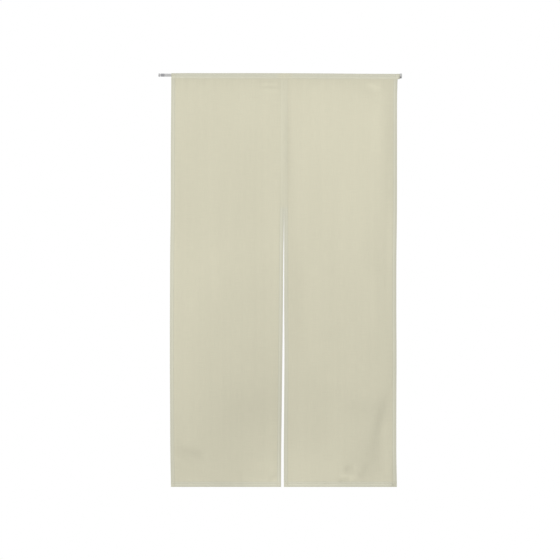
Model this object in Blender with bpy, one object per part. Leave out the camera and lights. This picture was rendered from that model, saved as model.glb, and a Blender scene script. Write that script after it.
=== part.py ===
"""A noren: two cloth panels hanging on a tension rod, in metres, +Z up.

The origin is the middle of the left foot's end face, on the rod's axis. +X runs along the rod, and the
room that the front of the cloth faces is towards -Y.
"""

import math
from collections import namedtuple

import bmesh
import bpy

# Rod, measured along its axis from the left foot's end face
ROD_LENGTH = 0.882
OUTER_RADIUS = 0.0070
OUTER_WALL = 0.0013
OUTER_START = 0.100
INNER_RADIUS = 0.00525
INNER_WALL = 0.0006
INNER_OVERLAP = 0.300  # how far the inner tube reaches into the outer one
FIT_GAP = 0.0003  # between pieces that touch

# Left foot, a rubber plug with a grooved collar
LEFT_DISC_RADIUS = 0.0057
LEFT_DISC_LENGTH = 0.0065
LEFT_GROOVE_RADIUS = 0.0041
LEFT_GROOVE_LENGTH = 0.0018
LEFT_COLLAR_RADIUS = 0.0055
LEFT_COLLAR_END = 0.0205
LEFT_STEM_LENGTH = 0.018

# Right foot, a wider rubber cap on a plug
RIGHT_CAP_RADIUS = 0.0089
RIGHT_CAP_LENGTH = 0.0070
RIGHT_STEM_LENGTH = 0.020
FOOT_EDGE = 0.0007
ROUND_SIDES = 28

# Cloth: each panel is one sheet, hemmed at both sides and below, turned over the rod and sewn
DROP = 1.500
PANEL_WIDTH = 0.410
CLOTH_START = 0.046
SHEET = 0.0012
HEM_SHEET = 0.0021
SIDE_HEM = 0.014
BOTTOM_HEM = 0.0195
HEM_STEP = 0.0015  # width of the slope at a hem's inner edge
JOIN_GAP = 0.0003
POCKET_DEPTH = 0.0196  # from the top edge down to the seam that closes the pocket
POCKET_SLACK = 0.0006
EDGE_ROOM = 0.0020  # kept between the cloth and the outer tube's cut end
EDGE_ROOM_REACH = 0.016
POCKET_FLANK = math.radians(48)  # from straight below the rod, where the cloth leaves its round form
SEAM_ROOM = 0.0017  # the two layers meet this far above the seam
TAPER_START = CLOTH_START + 0.004  # the pocket narrows to the inner tube at the left
TAPER_END = OUTER_START - 0.006

POCKET_STEPS = 11
INNER_COLUMNS = 18
INNER_ROWS = 36
TOP_ROWS = (0.007, 0.018, 0.034)  # below the seam, where the cloth comes away from the rod
FOLD_START = 0.060  # the folds grow over this length below the seam
SLIT_START = 0.478  # the drop where the two slit edges part
SLIT_EASE = 0.250  # below it, the panels come to hang apart from each other over this length
JOIN_REACH = 0.090  # above it, each panel's own folds fade over this width towards the join

TOP = OUTER_RADIUS + POCKET_SLACK + SHEET
SEAM = TOP - POCKET_DEPTH
MIDDLE = CLOTH_START + PANEL_WIDTH
CLOTH_END = MIDDLE + PANEL_WIDTH

# How far the cloth's upright edges stand to the right of their straight lines, by the drop from the top.
# The panels are sewn together above the row where the two slit edges part.
Outline = namedtuple("Outline", "drop outer_left slit_left slit_right outer_right")
OUTLINE = (
    Outline(0.0000, 0.0018, 0.0000, 0.0000, 0.0068),
    Outline(0.0196, 0.0018, 0.0000, 0.0000, 0.0068),
    Outline(0.0270, 0.0019, 0.0000, 0.0000, 0.0012),
    Outline(0.2800, 0.0000, 0.0000, 0.0000, 0.0001),
    Outline(0.4850, -0.0003, 0.0000, 0.0000, -0.0002),
    Outline(0.6700, -0.0025, -0.0028, 0.0006, -0.0031),
    Outline(0.8450, -0.0032, -0.0042, 0.0006, -0.0028),
    Outline(1.0180, -0.0036, -0.0059, 0.0015, -0.0020),
    Outline(1.1930, -0.0028, -0.0080, 0.0010, -0.0035),
    Outline(1.3670, -0.0014, -0.0095, 0.0004, -0.0028),
    Outline(1.5000, 0.0004, -0.0106, 0.0006, -0.0009),
)

# Soft folds. Each crest runs from one point to another, given as the distance along the rod and the drop,
# and stands height towards the room at its middle; a trough has a negative height.
Fold = namedtuple("Fold", "start_x start_drop end_x end_drop half_width height")
JOIN_FOLDS = (
    Fold(0.4565, 0.000, 0.4565, 0.560, 0.011, 0.0026),
)
LEFT_FOLDS = (
    Fold(0.115, 0.060, 0.112, 0.700, 0.036, 0.0028),
    Fold(0.410, 0.100, 0.410, 1.060, 0.065, -0.0045),
    Fold(0.100, 1.355, 0.760, 1.255, 0.105, -0.0125),
    Fold(0.040, 1.338, 0.195, 1.452, 0.020, -0.0032),
    Fold(0.330, 1.560, 0.520, 1.490, 0.055, 0.0050),
    Fold(0.120, 1.540, 0.350, 1.540, 0.038, -0.0040),
)
RIGHT_FOLDS = (
    Fold(0.876, 0.000, 0.876, 1.150, 0.021, -0.0046),
    Fold(0.885, 0.420, 0.885, 1.400, 0.055, -0.0070),
    Fold(0.812, 0.000, 0.812, 0.640, 0.028, 0.0028),
    Fold(0.700, -0.050, 0.690, 0.700, 0.090, 0.0045),
    Fold(0.535, 0.480, 0.535, 1.240, 0.038, -0.0050),
    Fold(0.740, 0.300, 0.730, 1.200, 0.080, 0.0045),
    Fold(0.480, 1.300, 0.900, 1.280, 0.130, -0.0070),
    Fold(0.830, 1.000, 0.795, 1.640, 0.065, -0.0080),
    Fold(0.857, 1.040, 0.762, 1.580, 0.021, -0.0044),
    Fold(0.910, 1.100, 0.880, 1.720, 0.050, -0.0070),
    Fold(0.620, 1.480, 0.700, 1.506, 0.012, 0.0016),
)
FOLD_FADE = 0.4  # share of its length over which a fold rises at each end

Panel = namedtuple("Panel", "name left right left_edge right_edge folds")
PANELS = (
    Panel("panel_left", CLOTH_START, MIDDLE - JOIN_GAP / 2, "outer_left", "slit_left", LEFT_FOLDS),
    Panel("panel_right", MIDDLE + JOIN_GAP / 2, CLOTH_END, "slit_right", "outer_right", RIGHT_FOLDS),
)


def smoothstep(value):
    value = min(max(value, 0.0), 1.0)
    return value * value * (3 - 2 * value)


def edge_offset(column, drop):
    """The outline table's value at a drop, on a smooth curve through its rows."""
    place = max(i for i, row in enumerate(OUTLINE[:-1]) if row.drop <= drop)
    near = [OUTLINE[min(max(place + k, 0), len(OUTLINE) - 1)] for k in (-1, 0, 1, 2)]
    before, start, end, after = (getattr(row, column) for row in near)
    span = near[2].drop - near[1].drop
    start_slope = (end - before) / max(near[2].drop - near[0].drop, span) * span
    end_slope = (after - start) / max(near[3].drop - near[1].drop, span) * span
    t = (drop - near[1].drop) / span
    curved = (
        (2 * t**3 - 3 * t**2 + 1) * start
        + (t**3 - 2 * t**2 + t) * start_slope
        + (3 * t**2 - 2 * t**3) * end
        + (t**3 - t**2) * end_slope
    )
    low, high = min(start, end), max(start, end)
    return min(max(curved, low), high)


def fold_height(fold, x, drop):
    along_x = fold.end_x - fold.start_x
    along_drop = fold.end_drop - fold.start_drop
    length = math.hypot(along_x, along_drop)
    to_x, to_drop = x - fold.start_x, drop - fold.start_drop
    along = (to_x * along_x + to_drop * along_drop) / length
    across = (to_x * along_drop - to_drop * along_x) / length
    rise = smoothstep(along / length / FOLD_FADE) * smoothstep((1 - along / length) / FOLD_FADE)
    return fold.height * rise * math.exp(-(across**2) / (2 * fold.half_width**2))


def standing_forward(panel, x, drop):
    """How far the cloth stands out towards the room. It is held straight along the pocket's seam."""
    shared = sum(fold_height(fold, x, drop) for fold in JOIN_FOLDS)
    own = sum(fold_height(fold, x, drop) for fold in panel.folds)
    joined = 1 - smoothstep((drop - SLIT_START) / SLIT_EASE)
    near_join = 1 - smoothstep(abs(x - MIDDLE) / JOIN_REACH)
    return (shared + own * (1 - joined * near_join)) * smoothstep((drop - POCKET_DEPTH) / FOLD_START)


def hem_share(panel, across, drop):
    """1 on a hem, 0 on the single cloth, and a short slope between."""
    width = panel.right - panel.left
    from_side = min(across, 1 - across) * width
    side = 1 - smoothstep((from_side - SIDE_HEM) / HEM_STEP)
    below = 1 - smoothstep((DROP - drop - BOTTOM_HEM) / HEM_STEP)
    return max(side, below)


def cloth_x(panel, across, drop):
    left = panel.left + edge_offset(panel.left_edge, drop)
    right = panel.right + edge_offset(panel.right_edge, drop)
    return left + across * (right - left)


def column_places(panel):
    """Where the mesh's columns stand across a panel, from 0 to 1, with one at each edge of a hem."""
    width = panel.right - panel.left
    hem, step = SIDE_HEM / width, (SIDE_HEM + HEM_STEP) / width
    inner = [step + (1 - 2 * step) * i / INNER_COLUMNS for i in range(INNER_COLUMNS + 1)]
    return [0.0, hem, *inner, 1 - hem, 1.0]


def row_drops():
    """The drops of the mesh's rows, from the bottom edge up to the pocket's seam."""
    hem_rows = [DROP, DROP - BOTTOM_HEM, DROP - BOTTOM_HEM - HEM_STEP]
    first = POCKET_DEPTH + TOP_ROWS[-1]
    last = hem_rows[-1]
    inner = [last + (first - last) * i / INNER_ROWS for i in range(1, INNER_ROWS + 1)]
    top = [POCKET_DEPTH + below for below in reversed(TOP_ROWS[:-1])]
    return hem_rows + inner + top + [POCKET_DEPTH]


def pocket_radius(x):
    """The pocket's inner radius: snug on the outer tube, narrower over the inner one at the left end.

    It swells a little where it passes the outer tube's cut end.
    """
    share = smoothstep((x - TAPER_START) / (TAPER_END - TAPER_START))
    swell = (EDGE_ROOM - POCKET_SLACK) * math.exp(-(((x - OUTER_START) / EDGE_ROOM_REACH) ** 2))
    return INNER_RADIUS + (OUTER_RADIUS - INNER_RADIUS) * share + POCKET_SLACK + swell


def pocket_angles():
    """Angles round the rod from straight below, by way of the front and the top, to the back."""
    turn = 2 * (math.pi - POCKET_FLANK)
    return [POCKET_FLANK + turn * i / POCKET_STEPS for i in range(POCKET_STEPS + 1)]


def column_section(panel, across):
    """One column's points: the front face, the pocket's outer and inner rounds, the tip, the back face."""
    front, back = [], []
    for drop in row_drops():
        x = cloth_x(panel, across, drop)
        face = -standing_forward(panel, x, drop) - SHEET / 2
        thick = SHEET + (HEM_SHEET - SHEET) * hem_share(panel, across, drop)
        front.append((x, face, TOP - drop))
        back.append((x, face + thick, TOP - drop))
    x = cloth_x(panel, across, 0.0)
    radius = pocket_radius(x)
    outer = [_round_point(x, radius + SHEET, angle) for angle in pocket_angles()]
    inner = [_round_point(x, radius, angle) for angle in pocket_angles()]
    tip = (x, 0.0, SEAM + SEAM_ROOM)
    return front, outer, inner, tip, back


def _round_point(x, radius, angle):
    return (x, -radius * math.sin(angle), -radius * math.cos(angle))


def panel_mesh(panel):
    """The panel as one closed sheet, with the tunnel of its rod pocket right through it."""
    mesh = bmesh.new()
    columns = []
    for across in column_places(panel):
        front, outer, inner, tip, back = column_section(panel, across)
        skin = [mesh.verts.new(p) for p in front + outer + back[::-1]]
        tunnel = [mesh.verts.new(p) for p in [tip] + inner]
        columns.append((skin, tunnel))
    for (skin, tunnel), (next_skin, next_tunnel) in zip(columns, columns[1:]):
        for loop, next_loop in ((skin, next_skin), (tunnel, next_tunnel)):
            for i in range(len(loop)):
                mesh.faces.new((loop[i - 1], loop[i], next_loop[i], next_loop[i - 1]))
    for skin, tunnel in (columns[0], columns[-1]):
        close_side(mesh, skin, tunnel)
    bmesh.ops.recalc_face_normals(mesh, faces=mesh.faces)
    return mesh


def close_side(mesh, skin, tunnel):
    """Closes an upright edge of the sheet, between its faces and round the pocket's mouth."""
    rows = len(row_drops())
    front, back = skin[:rows], skin[::-1][:rows]
    outer = skin[rows : len(skin) - rows]
    tip, inner = tunnel[0], tunnel[1:]
    for i in range(rows - 1):
        mesh.faces.new((front[i], front[i + 1], back[i + 1], back[i]))
    mesh.faces.new((front[-1], tip, back[-1]))
    mesh.faces.new((front[-1], outer[0], inner[0], tip))
    mesh.faces.new((back[-1], tip, inner[-1], outer[-1]))
    for i in range(len(outer) - 1):
        mesh.faces.new((outer[i], outer[i + 1], inner[i + 1], inner[i]))


def turned_mesh(profile, closed_profile):
    """A round piece about the X axis, from (x, radius) points. A solid one starts and ends on the axis."""
    mesh = bmesh.new()
    points = [mesh.verts.new((x, 0.0, radius)) for x, radius in profile]
    pairs = list(zip(points, points[1:]))
    if closed_profile:
        pairs.append((points[-1], points[0]))
    edges = [mesh.edges.new(pair) for pair in pairs]
    bmesh.ops.spin(
        mesh,
        geom=points + edges,
        cent=(0, 0, 0),
        axis=(1, 0, 0),
        angle=math.tau,
        steps=ROUND_SIDES,
        use_merge=True,
    )
    bmesh.ops.remove_doubles(mesh, verts=mesh.verts, dist=1e-6)
    bmesh.ops.recalc_face_normals(mesh, faces=mesh.faces)
    return mesh


def tube_profile(length, radius, wall):
    return [(0.0, radius), (length, radius), (length, radius - wall), (0.0, radius - wall)]


def left_foot_profile():
    groove_end = LEFT_DISC_LENGTH + LEFT_GROOVE_LENGTH
    stem_radius = INNER_RADIUS - INNER_WALL - FIT_GAP
    stem_end = LEFT_COLLAR_END + LEFT_STEM_LENGTH
    return [
        (0.0, 0.0),
        (0.0, LEFT_DISC_RADIUS - FOOT_EDGE),
        (FOOT_EDGE, LEFT_DISC_RADIUS),
        (LEFT_DISC_LENGTH - FOOT_EDGE, LEFT_DISC_RADIUS),
        (LEFT_DISC_LENGTH, LEFT_DISC_RADIUS - FOOT_EDGE),
        (LEFT_DISC_LENGTH, LEFT_GROOVE_RADIUS),
        (groove_end, LEFT_GROOVE_RADIUS),
        (groove_end, LEFT_COLLAR_RADIUS - FOOT_EDGE / 2),
        (groove_end + FOOT_EDGE / 2, LEFT_COLLAR_RADIUS),
        (LEFT_COLLAR_END, LEFT_COLLAR_RADIUS),
        (LEFT_COLLAR_END, stem_radius),
        (stem_end - FOOT_EDGE, stem_radius),
        (stem_end, stem_radius - FOOT_EDGE),
        (stem_end, 0.0),
    ]


def right_foot_profile():
    stem_radius = OUTER_RADIUS - OUTER_WALL - FIT_GAP
    cap_start = RIGHT_STEM_LENGTH
    cap_end = RIGHT_STEM_LENGTH + RIGHT_CAP_LENGTH
    return [
        (0.0, 0.0),
        (0.0, stem_radius - FOOT_EDGE),
        (FOOT_EDGE, stem_radius),
        (cap_start, stem_radius),
        (cap_start, RIGHT_CAP_RADIUS - FOOT_EDGE),
        (cap_start + FOOT_EDGE, RIGHT_CAP_RADIUS),
        (cap_end - 2 * FOOT_EDGE, RIGHT_CAP_RADIUS),
        (cap_end, RIGHT_CAP_RADIUS - 2 * FOOT_EDGE),
        (cap_end, 0.0),
    ]


def material(name, colour, roughness, metallic=0.0):
    made = bpy.data.materials.new(name)
    made.use_nodes = True
    shader = made.node_tree.nodes["Principled BSDF"]
    shader.inputs["Base Color"].default_value = (*colour, 1.0)
    shader.inputs["Roughness"].default_value = roughness
    shader.inputs["Metallic"].default_value = metallic
    return made


def add_piece(name, mesh, finish, root, x=0.0, sharp_above=30):
    """Turns a bmesh into a named object at a place along the rod."""
    data = bpy.data.meshes.new(name)
    mesh.to_mesh(data)
    mesh.free()
    data.materials.append(finish)
    data.shade_smooth()
    data.set_sharp_from_angle(angle=math.radians(sharp_above))
    piece = bpy.data.objects.new(name, data)
    bpy.context.scene.collection.objects.link(piece)
    piece.parent = root
    piece.location.x = x
    return piece


def build_rod(root):
    enamel = material("rod_enamel", (0.62, 0.62, 0.61), 0.32, 0.1)
    rubber = material("foot_rubber", (0.30, 0.30, 0.31), 0.60)
    outer_length = ROD_LENGTH - RIGHT_CAP_LENGTH - FIT_GAP - OUTER_START
    inner_start = LEFT_COLLAR_END + FIT_GAP
    inner_length = OUTER_START + INNER_OVERLAP - inner_start
    outer = turned_mesh(tube_profile(outer_length, OUTER_RADIUS, OUTER_WALL), True)
    add_piece("rod_outer_tube", outer, enamel, root, OUTER_START)
    inner = turned_mesh(tube_profile(inner_length, INNER_RADIUS, INNER_WALL), True)
    add_piece("rod_inner_tube", inner, enamel, root, inner_start)
    add_piece("rod_foot_left", turned_mesh(left_foot_profile(), False), rubber, root)
    right_x = ROD_LENGTH - RIGHT_CAP_LENGTH - RIGHT_STEM_LENGTH
    add_piece("rod_foot_right", turned_mesh(right_foot_profile(), False), rubber, root, right_x)


def build_cloth(root):
    cloth = material("cloth", (0.66, 0.63, 0.50), 0.85)
    for panel in PANELS:
        add_piece(panel.name, panel_mesh(panel), cloth, root, sharp_above=50)


def main():
    for leftover in list(bpy.data.objects):
        bpy.data.objects.remove(leftover, do_unlink=True)
    root = bpy.data.objects.new("noren", None)
    bpy.context.scene.collection.objects.link(root)
    build_rod(root)
    build_cloth(root)


main()
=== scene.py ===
import math
from collections import namedtuple

import bmesh
import bpy
import numpy as np
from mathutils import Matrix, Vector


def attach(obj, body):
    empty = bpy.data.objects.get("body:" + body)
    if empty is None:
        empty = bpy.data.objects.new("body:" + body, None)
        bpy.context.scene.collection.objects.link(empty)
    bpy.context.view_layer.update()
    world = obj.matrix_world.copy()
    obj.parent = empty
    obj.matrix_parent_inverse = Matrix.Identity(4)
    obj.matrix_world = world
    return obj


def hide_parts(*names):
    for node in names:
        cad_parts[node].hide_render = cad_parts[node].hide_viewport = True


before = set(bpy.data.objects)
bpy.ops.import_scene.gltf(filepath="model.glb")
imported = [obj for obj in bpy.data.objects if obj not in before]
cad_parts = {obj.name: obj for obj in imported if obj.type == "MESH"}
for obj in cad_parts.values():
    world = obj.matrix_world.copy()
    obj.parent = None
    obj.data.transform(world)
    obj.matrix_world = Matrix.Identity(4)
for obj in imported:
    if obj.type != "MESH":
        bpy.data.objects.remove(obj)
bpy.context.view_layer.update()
print("frame loaded")

# The curtain's lengths, in metres. Drop is measured down from the cloth's top edge.
curtain = {
    "drop": 1.500,
    "panelWidth": 0.410,
    "start": 0.046,  # along the rod, where the left panel begins
    "joinGap": 0.00002,
    "sideHem": 0.014,
    "bottomHem": 0.0195,
    "pocketDepth": 0.0196,  # down to the seam that closes the rod pocket
    "pocketSlack": 0.0006,
    "pocketFlank": math.radians(48),  # from straight below the rod to where the round form ends
    "solidSheet": 0.0012,
    "seamForward": 0.0034,  # the seam stands forward of the cloth below it
    "seamForwardReach": 0.110,
    "foldStart": 0.060,  # below the pocket, where the folds have their full height
    "slitStart": 0.478,
    "slitEase": 0.250,  # the length below the join over which each panel takes on its own folds
    "joinReach": 0.090,  # and how far from the join they are held back above it
}
rod = {
    "length": 0.882,
    "outerRadius": 0.0070,
    "outerWall": 0.0013,
    "outerStart": 0.100,
    "innerRadius": 0.00525,
    "innerWall": 0.0006,
    "innerOverlap": 0.300,
    "fitGap": 0.0003,
    "lipShare": 0.42,  # how much of the wall a tube's rounded lip takes
    "sides": 64,
}
camera = {
    "lens": 85.0,
    "sensor": 36.0,
    "x": 0.4414,  # the point that it looks at, with z, on the plane of the rod
    "z": -0.7411,
    "distance": 4.7930,
    "turned": math.radians(0.65),  # it stands a little to the left, and isn't quite upright
    "rolled": math.radians(-0.113),
}
top = rod["outerRadius"] + curtain["pocketSlack"] + curtain["solidSheet"]
middle = curtain["start"] + curtain["panelWidth"]
clothEnd = middle + curtain["panelWidth"]

# How much lower than its highest line the rod pocket lies, along the rod
Sag = namedtuple("Sag", "x depth")
pocketSags = (
    Sag(0.046, 0.0020), Sag(0.100, 0.0012), Sag(0.200, 0.0010), Sag(0.340, 0.0003),
    Sag(0.520, 0.0002), Sag(0.640, 0.0006), Sag(0.740, 0.0012), Sag(0.882, 0.0012),
)

# How far the upright edges stand to the right of their straight lines
Outline = namedtuple("Outline", "drop outerLeft slitLeft slitRight outerRight")
outlineRows = (
    Outline(0.0000, 0.0018, 0.0000, 0.0000, 0.0100),
    Outline(0.0184, 0.0018, 0.0000, 0.0000, 0.0100),
    Outline(0.0206, 0.0019, 0.0000, 0.0000, 0.0018),
    Outline(0.2800, 0.0000, 0.0000, 0.0000, 0.0001),
    Outline(0.4850, -0.0003, 0.0000, 0.0000, -0.0002),
    Outline(0.6700, -0.0025, -0.0028, 0.0006, -0.0021),
    Outline(0.8450, -0.0032, -0.0042, 0.0006, -0.0023),
    Outline(1.0180, -0.0036, -0.0059, 0.0015, -0.0017),
    Outline(1.1930, -0.0028, -0.0080, 0.0004, -0.0021),
    Outline(1.3670, -0.0018, -0.0099, -0.0008, -0.0023),
    Outline(1.5000, 0.0004, -0.0106, -0.0006, -0.0004),
)

# Crests that stand towards the room, or troughs where the height is negative, each along one line
Fold = namedtuple("Fold", "startX startDrop endX endDrop halfWidth height")
foldFade = 0.4  # the share of a fold's length over which each end fades
joinFolds = (
    Fold(0.4565, 0.000, 0.4565, 0.560, 0.011, 0.0026),
)
leftFolds = (
    Fold(0.115, 0.060, 0.112, 0.700, 0.036, 0.0028),
    Fold(0.410, 0.100, 0.410, 1.060, 0.065, -0.0045),
    Fold(0.100, 1.355, 0.760, 1.255, 0.105, -0.0125),
    Fold(0.040, 1.338, 0.195, 1.452, 0.020, -0.0032),
    Fold(0.330, 1.560, 0.520, 1.490, 0.055, 0.0050),
    Fold(0.120, 1.540, 0.350, 1.540, 0.038, -0.0040),
)
rightFolds = (
    Fold(0.876, 0.000, 0.876, 1.150, 0.021, -0.0046),
    Fold(0.885, 0.420, 0.885, 1.400, 0.055, -0.0070),
    Fold(0.812, 0.000, 0.812, 0.640, 0.028, 0.0028),
    Fold(0.700, -0.050, 0.690, 0.700, 0.090, 0.0045),
    Fold(0.535, 0.480, 0.535, 1.240, 0.038, -0.0050),
    Fold(0.740, 0.300, 0.730, 1.200, 0.080, 0.0045),
    Fold(0.480, 1.300, 0.900, 1.280, 0.130, -0.0070),
    Fold(0.830, 1.000, 0.795, 1.640, 0.065, -0.0080),
    Fold(0.857, 1.040, 0.762, 1.580, 0.021, -0.0044),
    Fold(0.910, 1.100, 0.880, 1.720, 0.050, -0.0070),
    Fold(0.620, 1.480, 0.700, 1.506, 0.012, 0.0016),
)
# Small creases that only the cloth itself has
leftCreases = (
    Fold(0.062, 1.352, 0.184, 1.390, 0.010, -0.0024),
    Fold(0.040, 1.376, 0.132, 1.432, 0.009, 0.0010),
    Fold(0.345, 0.030, 0.440, 0.033, 0.004, -0.0032),
    Fold(0.360, 0.041, 0.450, 0.041, 0.004, 0.0024),
    Fold(0.354, 0.053, 0.450, 0.052, 0.004, -0.0024),
    Fold(0.370, 0.066, 0.450, 0.066, 0.005, 0.0020),
    Fold(0.330, 0.092, 0.380, 0.088, 0.005, -0.0008),
    Fold(0.290, 1.430, 0.330, 1.530, 0.012, -0.0012),
)
rightCreases = (
    Fold(0.746, 0.034, 0.820, 0.062, 0.0075, 0.0044),
    Fold(0.744, 0.056, 0.804, 0.088, 0.006, -0.0010),
    Fold(0.8480, 1.1018, 0.7722, 1.3847, 0.010, -0.0010),
    Fold(0.670, 1.441, 0.722, 1.421, 0.008, -0.0032),
    Fold(0.652, 1.460, 0.712, 1.458, 0.006, 0.0024),
    Fold(0.646, 1.475, 0.708, 1.474, 0.005, -0.0024),
    Fold(0.690, 1.466, 0.736, 1.458, 0.007, 0.0026),
    Fold(0.734, 1.472, 0.758, 1.444, 0.008, -0.0012),
    Fold(0.750, 1.462, 0.762, 1.402, 0.009, -0.0012),
    Fold(0.556, 0.060, 0.600, 0.090, 0.008, 0.0007),
)
# Painted shade, a little deeper along each line, or, with a positive height, painted light that is paler
leftPaintedShading = (
    Fold(0.140, 1.270, 0.700, 1.110, 0.080, -0.050),
    Fold(0.220, 1.000, 0.560, 1.060, 0.060, -0.020),
    Fold(0.000, 0.655, 0.620, 0.655, 0.080, 0.026),
    Fold(0.080, 0.500, 0.080, 1.300, 0.050, 0.024),
    Fold(0.150, 0.200, 0.150, 0.680, 0.035, 0.022),
    Fold(0.360, 1.520, 0.560, 1.400, 0.040, 0.040),
    Fold(0.436, -0.200, 0.436, 0.700, 0.006, -0.014),
    Fold(0.052, -0.200, 0.052, 1.650, 0.009, 0.030),
    Fold(0.088, 1.352, 0.178, 1.400, 0.020, -0.046),
    Fold(0.128, 1.386, 0.188, 1.414, 0.010, -0.022),
    Fold(0.130, 0.500, 0.130, 1.040, 0.050, 0.026),
    Fold(0.290, 1.020, 0.240, 1.600, 0.060, -0.026),
    Fold(0.360, 1.080, 0.400, 1.440, 0.030, -0.018),
    Fold(0.085, 1.230, 0.085, 1.560, 0.016, -0.020),
    Fold(0.050, 0.450, 0.060, 0.900, 0.028, 0.016),
    Fold(0.209, 0.560, 0.209, 0.930, 0.016, 0.024),
    Fold(-0.020, 1.490, 0.265, 1.490, 0.010, 0.026),
    Fold(0.165, 1.492, 0.300, 1.492, 0.010, -0.024),
    Fold(0.300, 1.434, 0.460, 1.414, 0.016, 0.022),
    Fold(0.390, 1.487, 0.442, 1.444, 0.005, -0.045),
    Fold(0.220, 1.486, 0.640, 1.486, 0.014, 0.040),
)
rightPaintedShading = (
    Fold(0.700, -0.050, 0.730, 0.900, 0.070, 0.036),
    Fold(0.520, 0.040, 0.520, 0.900, 0.028, 0.026),
    Fold(0.880, 0.900, 0.880, 1.520, 0.030, -0.022),
    Fold(0.400, 1.460, 0.740, 1.410, 0.060, 0.046),
    Fold(0.400, 1.160, 0.760, 1.120, 0.060, -0.020),
    Fold(0.4715, -0.220, 0.4700, 0.780, 0.0080, -0.018),
    Fold(0.860, -0.200, 0.860, 1.700, 0.009, 0.024),
    Fold(0.844, -0.100, 0.844, 0.400, 0.016, -0.030),
    Fold(0.842, 0.400, 0.842, 1.020, 0.014, 0.036),
    Fold(0.772, 0.660, 0.772, 1.000, 0.022, 0.034),
    Fold(0.620, -0.150, 0.560, 0.440, 0.042, 0.018),
    Fold(0.690, 0.030, 0.770, 0.094, 0.016, -0.014),
    Fold(0.776, 0.040, 0.796, 0.380, 0.020, 0.022),
    Fold(0.540, 0.940, 0.690, 0.960, 0.030, -0.014),
    Fold(0.8530, 1.1100, 0.7780, 1.3847, 0.0120, -0.026),
    Fold(0.8380, 1.1650, 0.8060, 1.2900, 0.0110, -0.020),
    Fold(0.8368, 1.1308, 0.7461, 1.5117, 0.026, -0.032),
    Fold(0.850, 0.960, 0.842, 1.460, 0.014, -0.034),
    Fold(0.815, 1.280, 0.802, 1.500, 0.015, -0.034),
    Fold(0.640, 1.215, 0.860, 1.215, 0.026, -0.028),
    Fold(0.550, 1.105, 0.740, 1.105, 0.024, 0.020),
    Fold(0.470, 1.080, 0.490, 1.420, 0.022, -0.022),
    Fold(0.380, 1.490, 0.580, 1.490, 0.012, 0.030),
    Fold(0.700, 1.490, 0.860, 1.490, 0.009, 0.020),
    Fold(0.846, 0.100, 0.846, 0.860, 0.010, 0.016),
    Fold(0.867, -0.060, 0.867, 0.130, 0.0035, -0.060),
    Fold(0.845, 1.4925, 0.866, 1.4945, 0.0035, -0.160),
    Fold(0.640, 1.340, 0.740, 1.460, 0.030, -0.012),
    Fold(0.853, 1.370, 0.853, 1.560, 0.006, -0.050),
    Fold(0.300, 1.492, 1.000, 1.492, 0.009, 0.024),
)
# The open end of the pocket, on the right, lies in its own shade
mouth = {"from": 0.8675, "to": 0.8745, "lower": 0.0120, "tone": -0.32}
Panel = namedtuple("Panel", "name node left right leftEdge rightEdge folds creases tones seed")
panels = (
    Panel("leftPanel", "panel_left", curtain["start"], middle - curtain["joinGap"] / 2,
          "outerLeft", "slitLeft", leftFolds, leftCreases, leftPaintedShading, 3),
    Panel("rightPanel", "panel_right", middle + curtain["joinGap"] / 2, clothEnd,
          "slitRight", "outerRight", rightFolds, rightCreases, rightPaintedShading, 11),
)

# Small waves where the sewing draws the cloth up, and the puffed form of a turned hem
sewing = {
    "sideStitch": 0.0130,  # in from the edge
    "bottomStitches": (0.0122, 0.0184),
    "puff": 0.00030,
    "puffSkew": 1.5,  # above 1 the hem is thickest nearer its stitches
    "groove": 0.00034,
    "grooveWidth": 0.0011,
    "pucker": 0.00028,
    "puckerLength": 0.034,
    "puckerReach": 0.022,
    "puckerStart": 0.020,  # below the pocket
    "slitSeed": 7,
    "joinedEase": 0.8,  # how much flatter the hems lie where they are sewn together
    "joinFade": 0.020,
    "gather": 0.00050,  # the small waves below the pocket
    "gatherLength": 0.021,
    "gatherStart": 0.006,
    "gatherReach": 0.045,
    "gatherSeed": 4,
}


# Shader maths: a Value is a socket that can be added to, multiplied and so on
class Value:
    def __init__(self, finish, socket):
        self.finish = finish
        self.socket = socket

    def maths(self, operation, first, second=0.0):
        return self.finish.node("Math", {"operation": operation}, {0: first, 1: second})

    def __add__(self, other):
        return self.maths("ADD", self, other)

    def __sub__(self, other):
        return self.maths("SUBTRACT", self, other)

    def __rsub__(self, other):
        return self.maths("SUBTRACT", other, self)

    def __mul__(self, other):
        return self.maths("MULTIPLY", self, other)

    __radd__ = __add__
    __rmul__ = __mul__


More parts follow.
